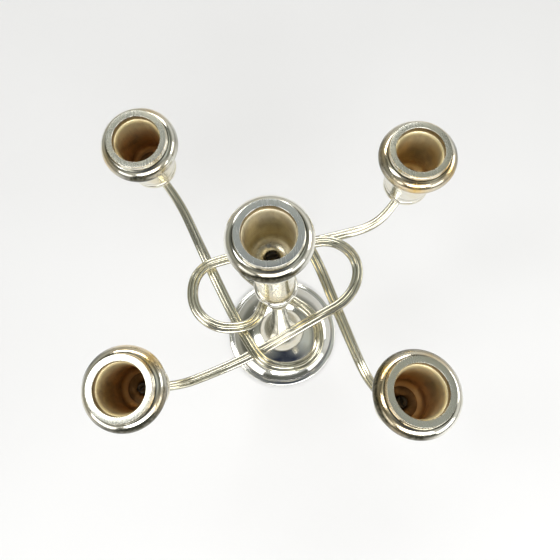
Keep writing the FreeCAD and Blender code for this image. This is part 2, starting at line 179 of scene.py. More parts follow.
class Surface(Nodes):
    """A material's tree. Noise scales count cells per metre of the object's own space."""

    def __init__(self, name):
        self.material = bpy.data.materials.new(name)
        self.material.use_nodes = True
        super().__init__(self.material.node_tree)
        self.shader = self.tree.nodes["Principled BSDF"]

    def object_point(self):
        return self.node("ShaderNodeTexCoord").outputs["Object"]

    def attribute(self, name):
        return self.node("ShaderNodeAttribute", attribute_name=name).outputs["Fac"]

    def noise(self, vector, scale, detail, roughness, w=0.0, distortion=0.0):
        """4D noise. w picks another pattern, so it does the work of a seed."""
        made = self.node("ShaderNodeTexNoise", noise_dimensions="4D")
        for key, value in (("Vector", vector), ("W", w), ("Scale", scale), ("Detail", detail),
                           ("Roughness", roughness), ("Distortion", distortion)):
            self.put(made.inputs[key], value)
        return made.outputs["Fac"]

    def bump(self, height, strength, distance, normal=None):
        made = self.node("ShaderNodeBump", {"Height": height, "Strength": strength, "Distance": distance})
        if normal is not None:
            self.put(made.inputs["Normal"], normal)
        return made.outputs["Normal"]

    def turning(self, density):
        """Fine circular tool marks about the object's own Z axis."""
        waver = 1.2
        least_radius = 0.0002
        x, y, z = self.split(self.object_point())
        squares = self.math("ADD", self.math("MULTIPLY", x, x), self.math("MULTIPLY", y, y))
        radius = self.math("SQRT", squares)
        safe = self.math("MAXIMUM", radius, least_radius)
        around = self.node("ShaderNodeCombineXYZ", {
            0: self.math("MULTIPLY", self.math("DIVIDE", x, safe), waver),
            1: self.math("MULTIPLY", self.math("DIVIDE", y, safe), waver),
            2: self.math("MULTIPLY", radius, density)}).outputs[0]
        level = self.math("MULTIPLY", z, density)
        return self.noise(around, scale=1.0, detail=2.0, roughness=0.6, w=level)

    def scratches(self, scale, angle, seed):
        """Sparse hairline scratches that run roughly one way."""
        turned = self.node("ShaderNodeMapping", {
            "Vector": self.object_point(),
            "Rotation": (0.3, 0.2, angle),
            "Scale": (1.0, 0.03, 1.0)}).outputs[0]
        lines = self.noise(turned, scale, detail=2.0, roughness=0.5, w=seed, distortion=0.3)
        return self.span(lines, 0.62, 0.74)

    def pits(self, point):
        """1 in small round pits, which come in a few clusters."""
        cells = self.node("ShaderNodeTexVoronoi", {"Vector": point, "Scale": 330.0, "Randomness": 1.0})
        rare = self.span(self.noise(point, scale=60.0, detail=1.0, roughness=0.5, w=9.0), 0.60, 0.66)
        return self.math("MULTIPLY", self.span(cells.outputs["Distance"], 0.05, 0.12, 1.0, 0.0), rare)

    def finish(self, **inputs):
        for key, value in inputs.items():
            self.put(self.shader.inputs[key.replace("_", " ")], value)
        return self.material


# ------------------------------------------------------------------ materials
TOOL_MARK_DEPTH = 0.00002
FELT_SHEEN = 0.4


def silver(name, bright, warm, dull, rough, tool=0.25, tool_density=9000.0, tarnish=0.6, hairline=0.10):
    """Silver plate: bright metal, cloudy warm tarnish, tool marks, hairline scratches and pits.

    The mesh's "age" attribute warms the colour. Its second attribute darkens it: dirt and tarnish in joints
    and grooves, and painted shade on some pieces. rough holds the least and most roughness.
    """
    g = Surface(name)
    point = g.object_point()
    cloud = g.noise(point, scale=95.0, detail=5.0, roughness=0.62, w=1.7, distortion=0.6)
    fine = g.noise(point, scale=620.0, detail=4.0, roughness=0.6, w=4.1)

    age = g.attribute("age")
    worn = g.math("ADD", g.math("MULTIPLY", g.span(cloud, 0.42, 0.72), tarnish), age, clamp=True)
    worn = g.math("MULTIPLY", worn, g.span(fine, 0.25, 0.6, 0.7, 1.0), clamp=True)
    # Darkens by the mesh's mask of dirt and painted shade.
    deep = g.math("MULTIPLY", g.attribute("grime_and_shade"), g.span(fine, 0.2, 0.55, 0.7, 1.0), clamp=True)
    pit = g.pits(point)
    colour = g.mix(worn, bright, warm)
    colour = g.mix(deep, colour, dull)
    colour = g.mix(g.math("MULTIPLY", pit, 0.75), colour, dull)

    first_hairs = g.scratches(scale=1500.0, angle=0.5, seed=2.0)
    hair = g.math("ADD", first_hairs, g.scratches(scale=1900.0, angle=2.1, seed=6.0), clamp=True)
    roughness = g.math("ADD", g.span(cloud, 0.3, 0.75, *rough), g.math("MULTIPLY", worn, 0.10))
    roughness = g.math("ADD", roughness, g.math("MULTIPLY", hair, hairline))
    roughness = g.math("ADD", roughness, g.math("MULTIPLY", deep, 0.06), clamp=True)

    dents = g.noise(point, scale=130.0, detail=2.0, roughness=0.5, w=3.0)
    normal = g.bump(g.turning(tool_density), tool, TOOL_MARK_DEPTH)
    normal = g.bump(hair, hairline, TOOL_MARK_DEPTH, normal)
    normal = g.bump(dents, 0.05, 0.0004, normal)
    normal = g.bump(g.math("SUBTRACT", 1.0, pit), 0.5, 0.0001, normal)
    return g.finish(Base_Color=colour, Roughness=roughness, Normal=normal, Metallic=1.0)


def patina(name, stops, top=-0.0034, metal_at_mouth=0.6, stain=1.0):
    """The inside of a candle cup: gilt and worn at the mouth, browner with wax and smoke below.

    The stops colour it from top, in metres, to 30 mm lower. stain scales the brown streaks and blotches.
    """
    colour_depth = 0.030
    metal_depth = 0.010
    metal_below = 0.85
    g = Surface(name)
    point = g.object_point()
    z = g.split(point)[2]
    cloud = g.noise(point, scale=160.0, detail=6.0, roughness=0.65, w=2.2, distortion=0.8)
    tall = g.node("ShaderNodeMapping", {"Vector": point, "Scale": (1.0, 1.0, 0.25)}).outputs[0]
    streak = g.noise(tall, scale=420.0, detail=4.0, roughness=0.6, w=7.0)
    blotch = g.noise(point, scale=75.0, detail=5.0, roughness=0.7, w=8.0, distortion=1.0)
    level = g.node("ShaderNodeCombineXYZ", {2: g.math("ADD", z, g.math("MULTIPLY", blotch, 0.0004))})
    bands = g.noise(level.outputs[0], scale=1100.0, detail=2.0, roughness=0.6, w=6.0)

    uneven = g.span(cloud, 0.25, 0.75, -0.08, 0.16)
    depth = g.math("ADD", g.span(z, top, top - colour_depth), uneven, clamp=True)
    colour = g.ramp(depth, stops)
    colour = g.mix(g.span(streak, 0.5, 0.72, 0.0, 0.3 * stain), colour, (0.42, 0.30, 0.16))
    colour = g.mix(g.span(blotch, 0.5, 0.68, 0.0, 0.4 * stain), colour, (0.44, 0.30, 0.16))
    colour = g.mix(g.span(bands, 0.52, 0.66, 0.0, 0.3 * stain), colour, (0.36, 0.25, 0.13))

    roughness = g.math("ADD", g.span(cloud, 0.3, 0.7, 0.27, 0.45), g.span(depth, 0.7, 1.0, 0.0, 0.2))
    normal = g.bump(g.noise(point, scale=900.0, detail=3.0, roughness=0.5, w=5.0), 0.08, 0.00005)
    normal = g.bump(bands, 0.08, 0.00006, normal)
    metal = g.span(z, top, top - metal_depth, metal_at_mouth, metal_below)
    return g.finish(Base_Color=colour, Metallic=metal, Roughness=roughness, Normal=normal)


def cup_floor(name, clean, worn, smoked, rough):
    """A cup's floor: metal with turned marks, in cloudy patches from clean to smoked."""
    g = Surface(name)
    cloud = g.noise(g.object_point(), scale=260.0, detail=5.0, roughness=0.6, w=3.3, distortion=0.5)
    colour = g.ramp(g.span(cloud, 0.3, 0.75), [(0.0, clean), (0.6, worn), (1.0, smoked)])
    roughness = g.span(cloud, 0.3, 0.7, rough, rough + 0.18)
    normal = g.bump(g.turning(6000.0), 0.5, 0.00003)
    return g.finish(Base_Color=colour, Roughness=roughness, Normal=normal, Metallic=1.0)


def plain_metal(name, dark, light, rough):
    """Turned steel or brass, a little cloudy."""
    g = Surface(name)
    cloud = g.noise(g.object_point(), scale=300.0, detail=4.0, roughness=0.6, w=1.0)
    colour = g.mix(g.span(cloud, 0.35, 0.7), dark, light)
    roughness = g.span(cloud, 0.3, 0.7, rough, rough + 0.15)
    normal = g.bump(g.turning(7000.0), 0.4, 0.00003)
    return g.finish(Base_Color=colour, Roughness=roughness, Normal=normal, Metallic=1.0)


def felt(name):
    g = Surface(name)
    point = g.object_point()
    fibres = g.noise(point, scale=2600.0, detail=6.0, roughness=0.7, w=2.0, distortion=1.5)
    faded = g.noise(point, scale=70.0, detail=3.0, roughness=0.5, w=5.0)
    colour = g.mix(g.span(fibres, 0.3, 0.7), (0.018, 0.055, 0.030), (0.05, 0.14, 0.075))
    colour = g.mix(g.span(faded, 0.45, 0.75, 0.0, 0.35), colour, (0.10, 0.15, 0.09))
    normal = g.bump(fibres, 0.6, 0.0003)
    return g.finish(Base_Color=colour, Normal=normal, Roughness=0.95, Sheen_Weight=FELT_SHEEN)


def filler(name):
    """The grainy cast filling of the foot."""
    g = Surface(name)
    grain = g.noise(g.object_point(), scale=700.0, detail=6.0, roughness=0.7, w=2.0)
    colour = g.mix(g.span(grain, 0.3, 0.7), (0.55, 0.51, 0.44), (0.80, 0.77, 0.70))
    return g.finish(Base_Color=colour, Normal=g.bump(grain, 0.5, 0.0004), Roughness=0.9)


def floor_paper(name):
    g = Surface(name)
    grain = g.noise(g.object_point(), scale=900.0, detail=4.0, roughness=0.6)
    colour = g.mix(grain, (0.905, 0.90, 0.91), (0.935, 0.93, 0.94))
    g.shader.inputs["Specular IOR Level"].default_value = 0.2
    return g.finish(Base_Color=colour, Normal=g.bump(grain, 0.05, 0.0002), Roughness=0.7)


POLISHED = silver("polished_silver", bright=(0.92, 0.92, 0.90), warm=(0.86, 0.80, 0.62),
                  dull=(0.16, 0.12, 0.07), rough=(0.05, 0.12), tarnish=0.35)
RING = silver("ring_silver", bright=(0.92, 0.91, 0.83), warm=(0.80, 0.54, 0.18),
              dull=(0.07, 0.066, 0.042), rough=(0.08, 0.16), tarnish=0.2)
# Cup silver is darker than the polished plate: partly duller plate, partly a painted dimmer reflection of the
# shaded table.
CUP = silver("cup_silver", bright=(0.84, 0.83, 0.77), warm=(0.76, 0.68, 0.47),
             dull=(0.12, 0.10, 0.06), rough=(0.10, 0.20), tarnish=0.5)
SATIN = silver("satin_silver", bright=(0.74, 0.77, 0.79), warm=(0.68, 0.65, 0.51),
               dull=(0.14, 0.12, 0.08), rough=(0.16, 0.26), tarnish=0.3, tool=0.6, tool_density=7000.0)
BRANCH = silver("branch_silver", bright=(0.84, 0.82, 0.70), warm=(0.76, 0.70, 0.50),
                dull=(0.11, 0.09, 0.04), rough=(0.08, 0.16), tarnish=0.35, tool=0.0, hairline=0.0)
GILT = silver("gilt_tarnish", bright=(0.88, 0.84, 0.68), warm=(0.82, 0.69, 0.38),
              dull=(0.22, 0.15, 0.06), rough=(0.10, 0.22), tarnish=0.8)

# Colours down the inside of a cup, from its mouth at 0 to its floor at 1.
BROWN_STOPS = [(0.0, (0.98, 0.88, 0.56)), (0.20, (0.97, 0.83, 0.49)), (0.45, (0.96, 0.74, 0.43)),
               (0.75, (0.92, 0.63, 0.34)), (1.0, (0.38, 0.23, 0.11))]
WARM_STOPS = [(0.0, (1.0, 0.90, 0.58)), (0.20, (1.0, 0.86, 0.53)), (0.45, (1.0, 0.80, 0.49)),
              (0.80, (0.98, 0.70, 0.39)), (1.0, (0.50, 0.32, 0.16))]
GOLD_STOPS = [(0.0, (1.0, 0.90, 0.58)), (0.20, (1.0, 0.89, 0.58)), (0.50, (1.0, 0.87, 0.57)),
              (0.85, (0.99, 0.82, 0.51)), (1.0, (0.75, 0.54, 0.29))]
OLIVE_STOPS = [(0.0, (0.95, 0.88, 0.66)), (0.25, (0.94, 0.86, 0.65)), (0.6, (0.92, 0.84, 0.62)),
               (0.9, (0.86, 0.78, 0.56)), (1.0, (0.90, 0.84, 0.66))]
MOUTH_STOPS = [(0.0, (0.56, 0.46, 0.29)), (0.5, (0.42, 0.33, 0.19)), (1.0, (0.66, 0.56, 0.36))]

BROWN_PATINA = patina("brown_patina", BROWN_STOPS)
WARM_PATINA = patina("warm_patina", WARM_STOPS, stain=0.5)
GOLD_PATINA = patina("gold_patina", GOLD_STOPS, stain=0.6)
OLIVE_PATINA = patina("olive_patina", OLIVE_STOPS)
MOUTH = patina("mouth_patina", MOUTH_STOPS, top=0.004, metal_at_mouth=0.85)
BRIGHT_FLOOR = cup_floor("bright_floor", clean=(0.76, 0.73, 0.62), worn=(0.66, 0.58, 0.40),
                         smoked=(0.34, 0.26, 0.14), rough=0.18)
BROWN_FLOOR = cup_floor("brown_floor", clean=(0.20, 0.12, 0.06), worn=(0.13, 0.075, 0.035),
                        smoked=(0.06, 0.035, 0.02), rough=0.42)
STEEL = plain_metal("dark_steel", dark=(0.03, 0.027, 0.024), light=(0.09, 0.08, 0.07), rough=0.40)
BRIGHT_STEEL = plain_metal("turned_steel", dark=(0.38, 0.37, 0.35), light=(0.58, 0.57, 0.54), rough=0.28)
BRASS = plain_metal("dull_brass", dark=(0.42, 0.30, 0.13), light=(0.62, 0.50, 0.27), rough=0.32)
FELT = felt("green_felt")
FILLER = filler("cast_filler")

# ------------------------------------------------------------------ outlines
# An outline is a closed list of points in mm: (radius, z, fillet radius, material index).
FILLET_STEPS = 5
FILLET_SHARE = 0.45


def sharp(pairs, tint=0):
    """Gives plain (radius, z) points no fillet, and a material index."""
    return [(r, z, 0, tint) for r, z in pairs]


def filleted(points):
    """Rounds an outline's corners and gives it back as (radius, z, material index)."""
    out = []
    for i, (r, z, radius, tint) in enumerate(points):
        if radius <= 0:
            out.append((r, z, tint))
            continue
        before = points[i - 1]
        after = points[(i + 1) % len(points)]
        arc = fillet_arc((r, z), before[:2], after[:2], radius)
        for step, (arc_r, arc_z) in enumerate(arc):
            out.append((arc_r, arc_z, before[3] if step < FILLET_STEPS / 2 else tint))
    return out


def fillet_arc(corner, before, after, radius):
    """Points on the arc that rounds one corner. It takes at most FILLET_SHARE of each side."""
    corner = np.array(corner)
    back, ahead = np.array(before) - corner, np.array(after) - corner
    back_length, ahead_length = np.linalg.norm(back), np.linalg.norm(ahead)
    back, ahead = back / back_length, ahead / ahead_length
    half = math.acos(max(-1.0, min(1.0, float(back @ ahead)))) / 2
    reach = min(radius / math.tan(half), FILLET_SHARE * back_length, FILLET_SHARE * ahead_length)
    radius = reach * math.tan(half)
    bisector = (back + ahead) / np.linalg.norm(back + ahead)
    centre = corner + bisector * radius / math.sin(half)
    start, end = corner + back * reach - centre, corner + ahead * reach - centre
    turn = math.atan2(start[0] * end[1] - start[1] * end[0], float(start @ end))
    arc = []
    for step in range(FILLET_STEPS + 1):
        cos_a, sin_a = math.cos(turn * step / FILLET_STEPS), math.sin(turn * step / FILLET_STEPS)
        arc.append((centre[0] + (start[0] * cos_a - start[1] * sin_a),
                    centre[1] + (start[0] * sin_a + start[1] * cos_a)))
    return arc


def arc_through(a, b, c, steps):
    """Points on the round arc from a through b to c, without a itself."""
    (ax, ay), (bx, by), (cx, cy) = a, b, c
    a_sum, b_sum, c_sum = ax**2 + ay**2, bx**2 + by**2, cx**2 + cy**2
    d = 2 * (ax * (by - cy) + bx * (cy - ay) + cx * (ay - by))
    ux = (a_sum * (by - cy) + b_sum * (cy - ay) + c_sum * (ay - by)) / d
    uy = (a_sum * (cx - bx) + b_sum * (ax - cx) + c_sum * (bx - ax)) / d
    radius = math.hypot(ax - ux, ay - uy)
    first, middle, last = [math.atan2(y - uy, x - ux) for x, y in (a, b, c)]
    way = 1 if ((middle - first) % math.tau) < ((last - first) % math.tau) else -1
    sweep = ((last - first) * way % math.tau) * way
    return [(ux + radius * math.cos(first + sweep * k / steps),
             uy + radius * math.sin(first + sweep * k / steps)) for k in range(1, steps + 1)]


def spline_through(points, steps):
    """A smooth curve through (radius, z) points, with steps pieces between each pair."""
    pts = np.array(points, dtype=float)
    padded = np.vstack([2 * pts[0] - pts[1], pts, 2 * pts[-1] - pts[-2]])
    out = []
    for p0, p1, p2, p3 in zip(padded, padded[1:], padded[2:], padded[3:]):
        for k in range(steps):
            t = k / steps
            out.append(tuple(0.5 * (2 * p1 + (p2 - p0) * t + (2 * p0 - 5 * p1 + 4 * p2 - p3) * t**2
                                    + (3 * p1 - p0 - 3 * p2 + p3) * t**3)))
    return out + [tuple(pts[-1])]


# ------------------------------------------------------------------ meshes
WELD = 2e-7
SLIVER = 2e-8


def build(name, verts, faces, materials, indices, attributes):
    """Makes a welded mesh object from lists. indices gives each face's material."""
    mesh = bpy.data.meshes.new(name)
    mesh.from_pydata([tuple(v) for v in verts], [], faces)
    for material in materials:
        mesh.materials.append(material)
    mesh.polygons.foreach_set("material_index", indices)
    for key, values in attributes.items():
        layer = mesh.attributes.new(key, "FLOAT", "POINT")
        layer.data.foreach_set("value", np.asarray(values, dtype=np.float32))
    made = bpy.data.objects.new(name, mesh)
    bpy.context.scene.collection.objects.link(made)
    clean(mesh)
    return made


def clean(mesh):
    """Welds points that fall together and turns every face outwards."""
    bm = bmesh.new()
    bm.from_mesh(mesh)
    bmesh.ops.remove_doubles(bm, verts=bm.verts, dist=WELD)
    bmesh.ops.dissolve_degenerate(bm, edges=bm.edges, dist=SLIVER)
    bmesh.ops.recalc_face_normals(bm, faces=bm.faces)
    bm.to_mesh(mesh)
    bm.free()
    mesh.shade_smooth()


def lathe(name, points, materials, age=0.0, grime_and_shade=0.0, segments=160):
    """Turns an outline about Z.

    age, and the mask of dirt and painted shade, are numbers from 0 to 1, or functions of the angle, the
    radius and the height.
    """
    outline = filleted(points)
    rings = len(outline)
    around = (np.arange(segments) * math.tau / segments)[None, :]
    radius = np.array([p[0] for p in outline])[:, None]
    height = np.array([p[1] for p in outline])[:, None]
    level = height + 0 * around
    verts = np.stack([radius * np.cos(around), radius * np.sin(around), level], axis=2).reshape(-1, 3) * MM
    faces = []
    indices = []
    for i in range(rings):
        j = (i + 1) % rings
        if outline[i][0] == 0 and outline[j][0] == 0:
            continue
        for k in range(segments):
            n = (k + 1) % segments
            faces.append((i * segments + k, i * segments + n, j * segments + n, j * segments + k))
            indices.append(outline[i][2])
    attributes = {}
    for key, paint in (("age", age), ("grime_and_shade", grime_and_shade)):
        values = paint(around, radius, height) if callable(paint) else paint
        attributes[key] = np.clip(values + 0 * level, 0, 1).ravel()
    return build(name, verts, faces, materials, indices, attributes)


def patch(around, centre_deg, width_deg):
    """1 at an angle from the piece's own +X, falling smoothly to 0 by width_deg away from it."""
    away = np.abs((around - math.radians(centre_deg) + math.pi) % math.tau - math.pi)
    return np.clip(1 - away / math.radians(width_deg), 0, 1) ** 1.5


def patches(around, spots):
    """The sum of several patches, each given as (centre, width, strength)."""
    return sum(patch(around, centre, width) * strength for centre, width, strength in spots)


def band(value, centre, width):
    """1 where value is centre, falling evenly to 0 by width away from it."""
    return np.clip(1 - np.abs(value - centre) / width, 0, 1)


def fade(value, start, length):
    """0 up to start, rising evenly to 1 at length past it. A negative length fades the other way."""
    return np.clip((value - start) / length, 0, 1)


# ------------------------------------------------------------------ placing
def seat_axis(name):
    lean = [math.tan(math.radians(angle)) for angle in SEATS[name][3:5]]
    axis = np.array([lean[0], lean[1], 1.0])
    return axis / np.linalg.norm(axis)


def seat_matrix(name, turn=0.0):
    """The seat's place and lean, with the piece turned about its own axis by some degrees."""
    rotation = Vector((0, 0, 1)).rotation_difference(Vector(seat_axis(name))).to_matrix().to_4x4()
    place = Matrix.Translation(Vector([c * MM for c in SEATS[name][:3]]))
    return place @ rotation @ Matrix.Rotation(math.radians(turn), 4, "Z")


def finish_piece(obj, body, node):
    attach(obj, body)
    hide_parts(node)


# ------------------------------------------------------------------ drip rings
RING_FACE, COLLAR_FACE, MOUTH_FACE = 0, 1, 2
COLLAR_GROOVE = -0.80
ROLL_START = (15.05, -2.62)
HOLLOW_TOP = -3.634
MIDDLE_COLLAR_AGE = 0.15
OUTER_COLLAR_AGE = 0.6

# Warm tarnish on each ring, and darker patches on its roll that are partly dirt and partly a painted dark
# reflection of the shaded table, most of it at the front near 265 degrees: (angle from +X, width, strength),
# with angles in degrees.
RING_TARNISH = {
    "middle": [(262, 60, 0.25)],
    "back_left": [(60, 45, 0.5), (205, 40, 0.6), (300, 30, 0.4)],
    "back_right": [(255, 50, 0.9), (320, 45, 1.0), (170, 60, 0.7), (60, 60, 0.4)],
    "front_left": [(42, 38, 1.0), (85, 40, 0.5), (330, 35, 0.6), (200, 40, 0.25)],
    "front_right": [(140, 40, 1.0), (185, 50, 0.8), (232, 45, 0.5), (60, 70, 0.5)],
}
# Darker patches on the roll: partly dirt, partly painted shade.
RING_DIRT_AND_SHADE = {
    "middle": [(262, 75, 2.2)],
    "back_left": [(265, 60, 1.3), (135, 45, 0.4), (0, 50, 0.6)],
    "back_right": [(0, 60, 1.4), (150, 60, 0.9), (190, 60, 0.7), (300, 45, 0.4)],
    "front_left": [(268, 90, 2.6), (135, 45, 2.2), (350, 60, 0.7)],
    "front_right": [(60, 110, 1.4), (150, 80, 1.4), (200, 60, 1.3), (258, 40, 1.4)],
}


def ring_outline():
    """Mouth, proud flat collar with a groove at its foot, the big roll, hollow below, and its skirt."""
    widest = (ROLL_RADIUS, ROLL_Z)
    inner_widest = (ROLL_RADIUS - RING_WALL, ROLL_Z)
    edge_outside, edge_inside = (15.8, -10.85), (15.9, -9.8)
    pts = [(MOUTH_RADIUS, CUP_TOP, 0.08, MOUTH_FACE), (MOUTH_RADIUS, -0.25, 0.10, COLLAR_FACE),
           (11.7, 0.0, 0.10, COLLAR_FACE), (COLLAR_RADIUS, 0.0, 0.14, RING_FACE),
           (14.55, -0.62, 0.05, RING_FACE), (14.42, COLLAR_GROOVE, 0.05, RING_FACE),
           (14.62, -0.98, 0.05, RING_FACE), (14.92, -2.25, 0.08, RING_FACE),
           (14.70, -2.66, 0.10, RING_FACE), (*ROLL_START, 0.08, RING_FACE)]
    pts += sharp(arc_through(ROLL_START, (17.394, -3.906), widest, 30))
    pts += sharp(arc_through(widest, (17.746, -9.846), edge_outside, 20))
    pts += [(15.6, -10.65, 0.08, RING_FACE), (15.6, -10.1, 0.08, RING_FACE)]
    pts += sharp([edge_inside] + arc_through(edge_inside, (17.04, -9.14), inner_widest, 10))
    pts += sharp(arc_through(inner_widest, (16.687, -4.613), (15.0, HOLLOW_TOP), 12))
    pts += [(SKIRT_OUTER, HOLLOW_TOP, 0.1, RING_FACE), (SKIRT_OUTER, SKIRT_BOTTOM, 0.25, RING_FACE),
            (SKIRT_INNER, SKIRT_BOTTOM, 0.15, RING_FACE), (SKIRT_INNER, CUP_TOP, 0.05, RING_FACE)]
    return pts


def make_ring(name):
    def age(around, radius, height):
        collar = (height > -0.35) & (radius < COLLAR_RADIUS + 0.05)
        collar_age = MIDDLE_COLLAR_AGE if name == "middle" else OUTER_COLLAR_AGE
        away_from_mouth = np.clip((radius - SKIRT_OUTER) / 2.5, 0.15, 1)
        return patches(around, RING_TARNISH[name]) * away_from_mouth + collar * collar_age

    # Darkens the ring: dirt in the collar's groove and at the roll's edge, painted shade in the hollow under
    # the roll and on the roll's lower side, and patches of dirt and painted shade.
    def grime_and_shade(around, radius, height):
        at_collar = (radius > 14.3) & (radius < 15.3)
        roll_line = (height > -3) * band(height, ROLL_START[1], 0.3)
        lines = at_collar * (band(height, COLLAR_GROOVE, 0.22) + roll_line)
        # The hollow under the roll gets painted shade.
        inside_roll = np.hypot(radius - 14.0, height - ROLL_Z) < 3.95
        hollow = (radius < 17.85) & (height < -3.4) & inside_roll
        dirt_and_shade = patches(around, RING_DIRT_AND_SHADE[name])
        # Painted shade on the roll's lower side, for its dark reflection of the shaded table, and the patches
        # of dirt and painted shade.
        low = fade(height, -5.8, -2.2) * 0.35 + fade(height, CUP_TOP, -1.6) * dirt_and_shade
        return lines * 0.95 + hollow * 0.35 + (radius > 15.7) * low

    made = lathe("drip_ring_" + name + "_turned", ring_outline(), [RING, SATIN, MOUTH], age, grime_and_shade, 192)
    made.matrix_world = seat_matrix(name)
    finish_piece(made, "drip_ring_" + name + "_body", "drip_ring_" + name)


# ------------------------------------------------------------------ cups, beads, bosses and screws
CUP_FACE, LINING_FACE, FLOOR_FACE, LIP_FACE = 0, 1, 2, 3
CUP_GROOVE = -30.75
LIP_RADIUS = 11.4
LIP_BOTTOM = -5.2
BEAD_AGE = 0.25
SCREW_TOP = -31.9
SLOT_SIZE = (7 * MM, 0.7 * MM, 1.6 * MM)

CUP_TARNISH = {"middle": [], "back_left": [(300, 40, 0.9)], "back_right": [(320, 35, 0.5)],
               "front_left": [(20, 60, 0.4)], "front_right": [(150, 50, 0.6)]}
CUP_LINING = {"middle": (OLIVE_PATINA, BRIGHT_FLOOR), "back_left": (BROWN_PATINA, BROWN_FLOOR),
              "back_right": (GOLD_PATINA, BROWN_FLOOR), "front_left": (BROWN_PATINA, BROWN_FLOOR),
              "front_right": (WARM_PATINA, BROWN_FLOOR)}
SCREW_TURNS = {"middle": 12, "back_left": 75, "back_right": 140, "front_left": 33, "front_right": 101}


def cup_outline():
    """A drawn cup with a rounded bottom, a groove near it, and a lip that flares out to the mouth."""
    bore_foot, floor_edge = (BORE_RADIUS, -30.4), (7.5, CUP_FLOOR)
    lip_top, lip_foot = (LIP_RADIUS, CUP_TOP), (BORE_RADIUS, LIP_BOTTOM)
    pts = sharp([(SCREW_HOLE, CUP_BOTTOM), (10.5, CUP_BOTTOM)])
    pts += sharp(arc_through((9.6, CUP_BOTTOM), (11.37, -34.27), (CUP_RADIUS, -32.5), 12)[2:])
    pts += [(CUP_RADIUS, -31.2, 0.1, CUP_FACE), (11.95, -30.9, 0.1, CUP_FACE),
            (11.95, -30.6, 0.1, CUP_FACE), (CUP_RADIUS, -30.3, 0.1, CUP_FACE)]
    pts += [(CUP_RADIUS, CUP_TOP, 0.1, LIP_FACE)]
    pts += sharp([lip_top] + arc_through(lip_top, (10.736, -4.103), lip_foot, 12)[:-1], LINING_FACE)
    pts += sharp([lip_foot, bore_foot], LINING_FACE)
    pts += sharp(arc_through(bore_foot, (9.62, -32.52), floor_edge, 10)[:-1], LINING_FACE)
    pts += sharp([floor_edge, (SCREW_HOLE, CUP_FLOOR)], FLOOR_FACE)
    return pts


def make_cup(name):
    def age(around, radius, height):
        low = fade(height, -22, -10) * 0.15
        return low + patches(around, CUP_TARNISH[name]) * fade(height, -16, -12)

    def grime_and_shade(around, radius, height):
        groove = band(height, CUP_GROOVE, 0.4) * 0.7 * (radius > 11)
        return groove + band(height, CUP_BOTTOM, 0.6) * 0.6

    lining, floor = CUP_LINING[name]
    made = lathe("cup_" + name + "_turned", cup_outline(), [CUP, lining, floor, MOUTH], age, grime_and_shade, 192)
    made.matrix_world = seat_matrix(name)
    finish_piece(made, STAND, "cup_" + name)


def make_bead(name):
    top, bottom = (10.5, CUP_BOTTOM), (10.5, BEAD_BOTTOM)
    pts = sharp([(SCREW_HOLE, CUP_BOTTOM), top] + arc_through(top, (11.9, -36.75), bottom, 18))
    pts += sharp([(SCREW_HOLE, BEAD_BOTTOM)])

    def grime_and_shade(around, radius, height):
        return band(height, CUP_BOTTOM, 0.7) * 0.8 + band(height, BEAD_BOTTOM, 0.5) * 0.5

    made = lathe("bead_" + name + "_turned", pts, [CUP], BEAD_AGE, grime_and_shade)
    made.matrix_world = seat_matrix(name)
    finish_piece(made, STAND, "bead_" + name)


def make_boss(name):
    """The branch's end under the bead. The screw bites into it."""
    pts = [(SCREW_HOLE, BEAD_BOTTOM, 0, 0), (3.4, BEAD_BOTTOM, 0.1, 0), (3.4, BOSS_FLOOR, 0.3, 0),
           (2.9, BOSS_BOTTOM, 0.3, 0), (0.0, BOSS_BOTTOM, 0, 0), (0.0, BOSS_FLOOR, 0, 0),
           (SCREW_HOLE, BOSS_FLOOR, 0, 0)]

    def grime_and_shade(around, radius, height):
        return band(height, BEAD_BOTTOM, 0.6) * 0.6 + band(height, BOSS_BOTTOM, 0.6) * 0.6

    made = lathe("boss_" + name + "_turned", pts, [BRANCH], grime_and_shade=grime_and_shade, segments=64)
    made.matrix_world = seat_matrix(name)
    finish_piece(made, STAND, "boss_" + name)


def make_screw(number, name):
    """A slotted cheese-head screw in the cup's floor."""
    head, shank = 2.7, 1.45
    pts = [(0.0, SCREW_TOP, 0, 0), (2.35, SCREW_TOP, 0.25, 0), (head, -32.25, 0.2, 0),
           (head, CUP_FLOOR, 0.05, 0), (shank, CUP_FLOOR, 0, 0), (shank, BOSS_FLOOR, 0, 0),
           (0.0, BOSS_FLOOR, 0, 0)]
    screw = lathe("cup_screw_%d" % number, pts, [STEEL], segments=64)
    cut_slot(screw)
    screw.matrix_world = seat_matrix(name, SCREW_TURNS[name])
    finish_piece(screw, STAND, "cup_screws")


def cut_slot(screw):
    """Cuts the slot out of a screw's head, into the mesh itself."""
    cutter_mesh = bpy.data.meshes.new("slot")
    bm = bmesh.new()
    bmesh.ops.create_cube(bm, size=1.0)
    bmesh.ops.scale(bm, vec=SLOT_SIZE, verts=bm.verts)
    bmesh.ops.translate(bm, vec=(0, 0, SCREW_TOP * MM), verts=bm.verts)
    bm.to_mesh(cutter_mesh)
    bm.free()
    cutter = bpy.data.objects.new("slot", cutter_mesh)
    bpy.context.scene.collection.objects.link(cutter)
    cut = screw.modifiers.new("slot", "BOOLEAN")
    cut.object = cutter
    cut.operation = "DIFFERENCE"
    cut.solver = "EXACT"
    bpy.context.view_layer.update()
    slotted = screw.evaluated_get(bpy.context.evaluated_depsgraph_get())
    result = bpy.data.meshes.new_from_object(slotted)
    screw.modifiers.clear()
    screw.data = result
    bpy.data.objects.remove(cutter)


for seat in SEATS:
    make_ring(seat)
    make_cup(seat)
    make_bead(seat)
for number, seat in enumerate(SEATS, 1):
    make_screw(number, seat)

# ------------------------------------------------------------------ foot and column
FOOT_RIM_BOTTOM = 0.6
SHELL = 1.0
STEM_FOOT_RADIUS = 17.0
STEM_WALL = 1.2
STEM_SPLINE_STEPS = 8
HUB_AGE = 0.4
COLUMN_RING_AGE = 0.2


